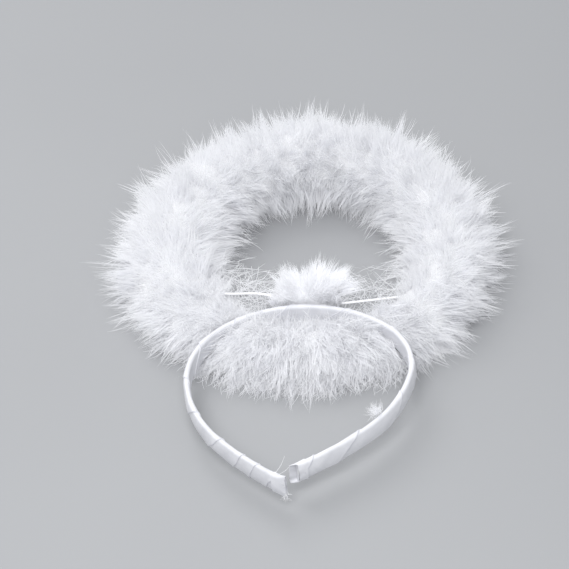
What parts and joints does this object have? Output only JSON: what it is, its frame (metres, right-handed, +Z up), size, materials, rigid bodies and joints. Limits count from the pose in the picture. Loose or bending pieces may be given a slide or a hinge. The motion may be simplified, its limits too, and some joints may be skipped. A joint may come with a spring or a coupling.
{
  "type": "feather halo headband",
  "caption": "Ribbon-wrapped hair hoop with a ring of white marabou down on a bent wire and a small tuft of down at the crown, lying on a table.",
  "frame": {"origin": "middle of the whole object's box, on the table it lies on", "axes": "+Y from the hoop's tips past its crown to the far side of the feather ring, +Z up from the table, +X to the right as seen from the tips"},
  "size_m": [0.2374, 0.3156, 0.0512],
  "materials": {
    "hoop": "moulded",
    "ribbon_wrap": "satin ribbon",
    "end_wrap_left": "satin ribbon, cut end",
    "end_wrap_right": "satin ribbon, folded end",
    "halo_wire": "white coating",
    "stem_wire": "white coating",
    "halo_boa": "marabou down",
    "crown_tuft": "marabou down"
  },
  "bodies": {
    "root": {"hoop": "hoop", "ribbon_wrap": "ribbon_wrap", "end_wrap_left": "end_wrap_left", "end_wrap_right": "end_wrap_right", "halo_wire": "halo_wire", "stem_wire": "stem_wire", "halo_boa": "halo_boa", "crown_tuft": "crown_tuft"}
  },
  "joints": []
}
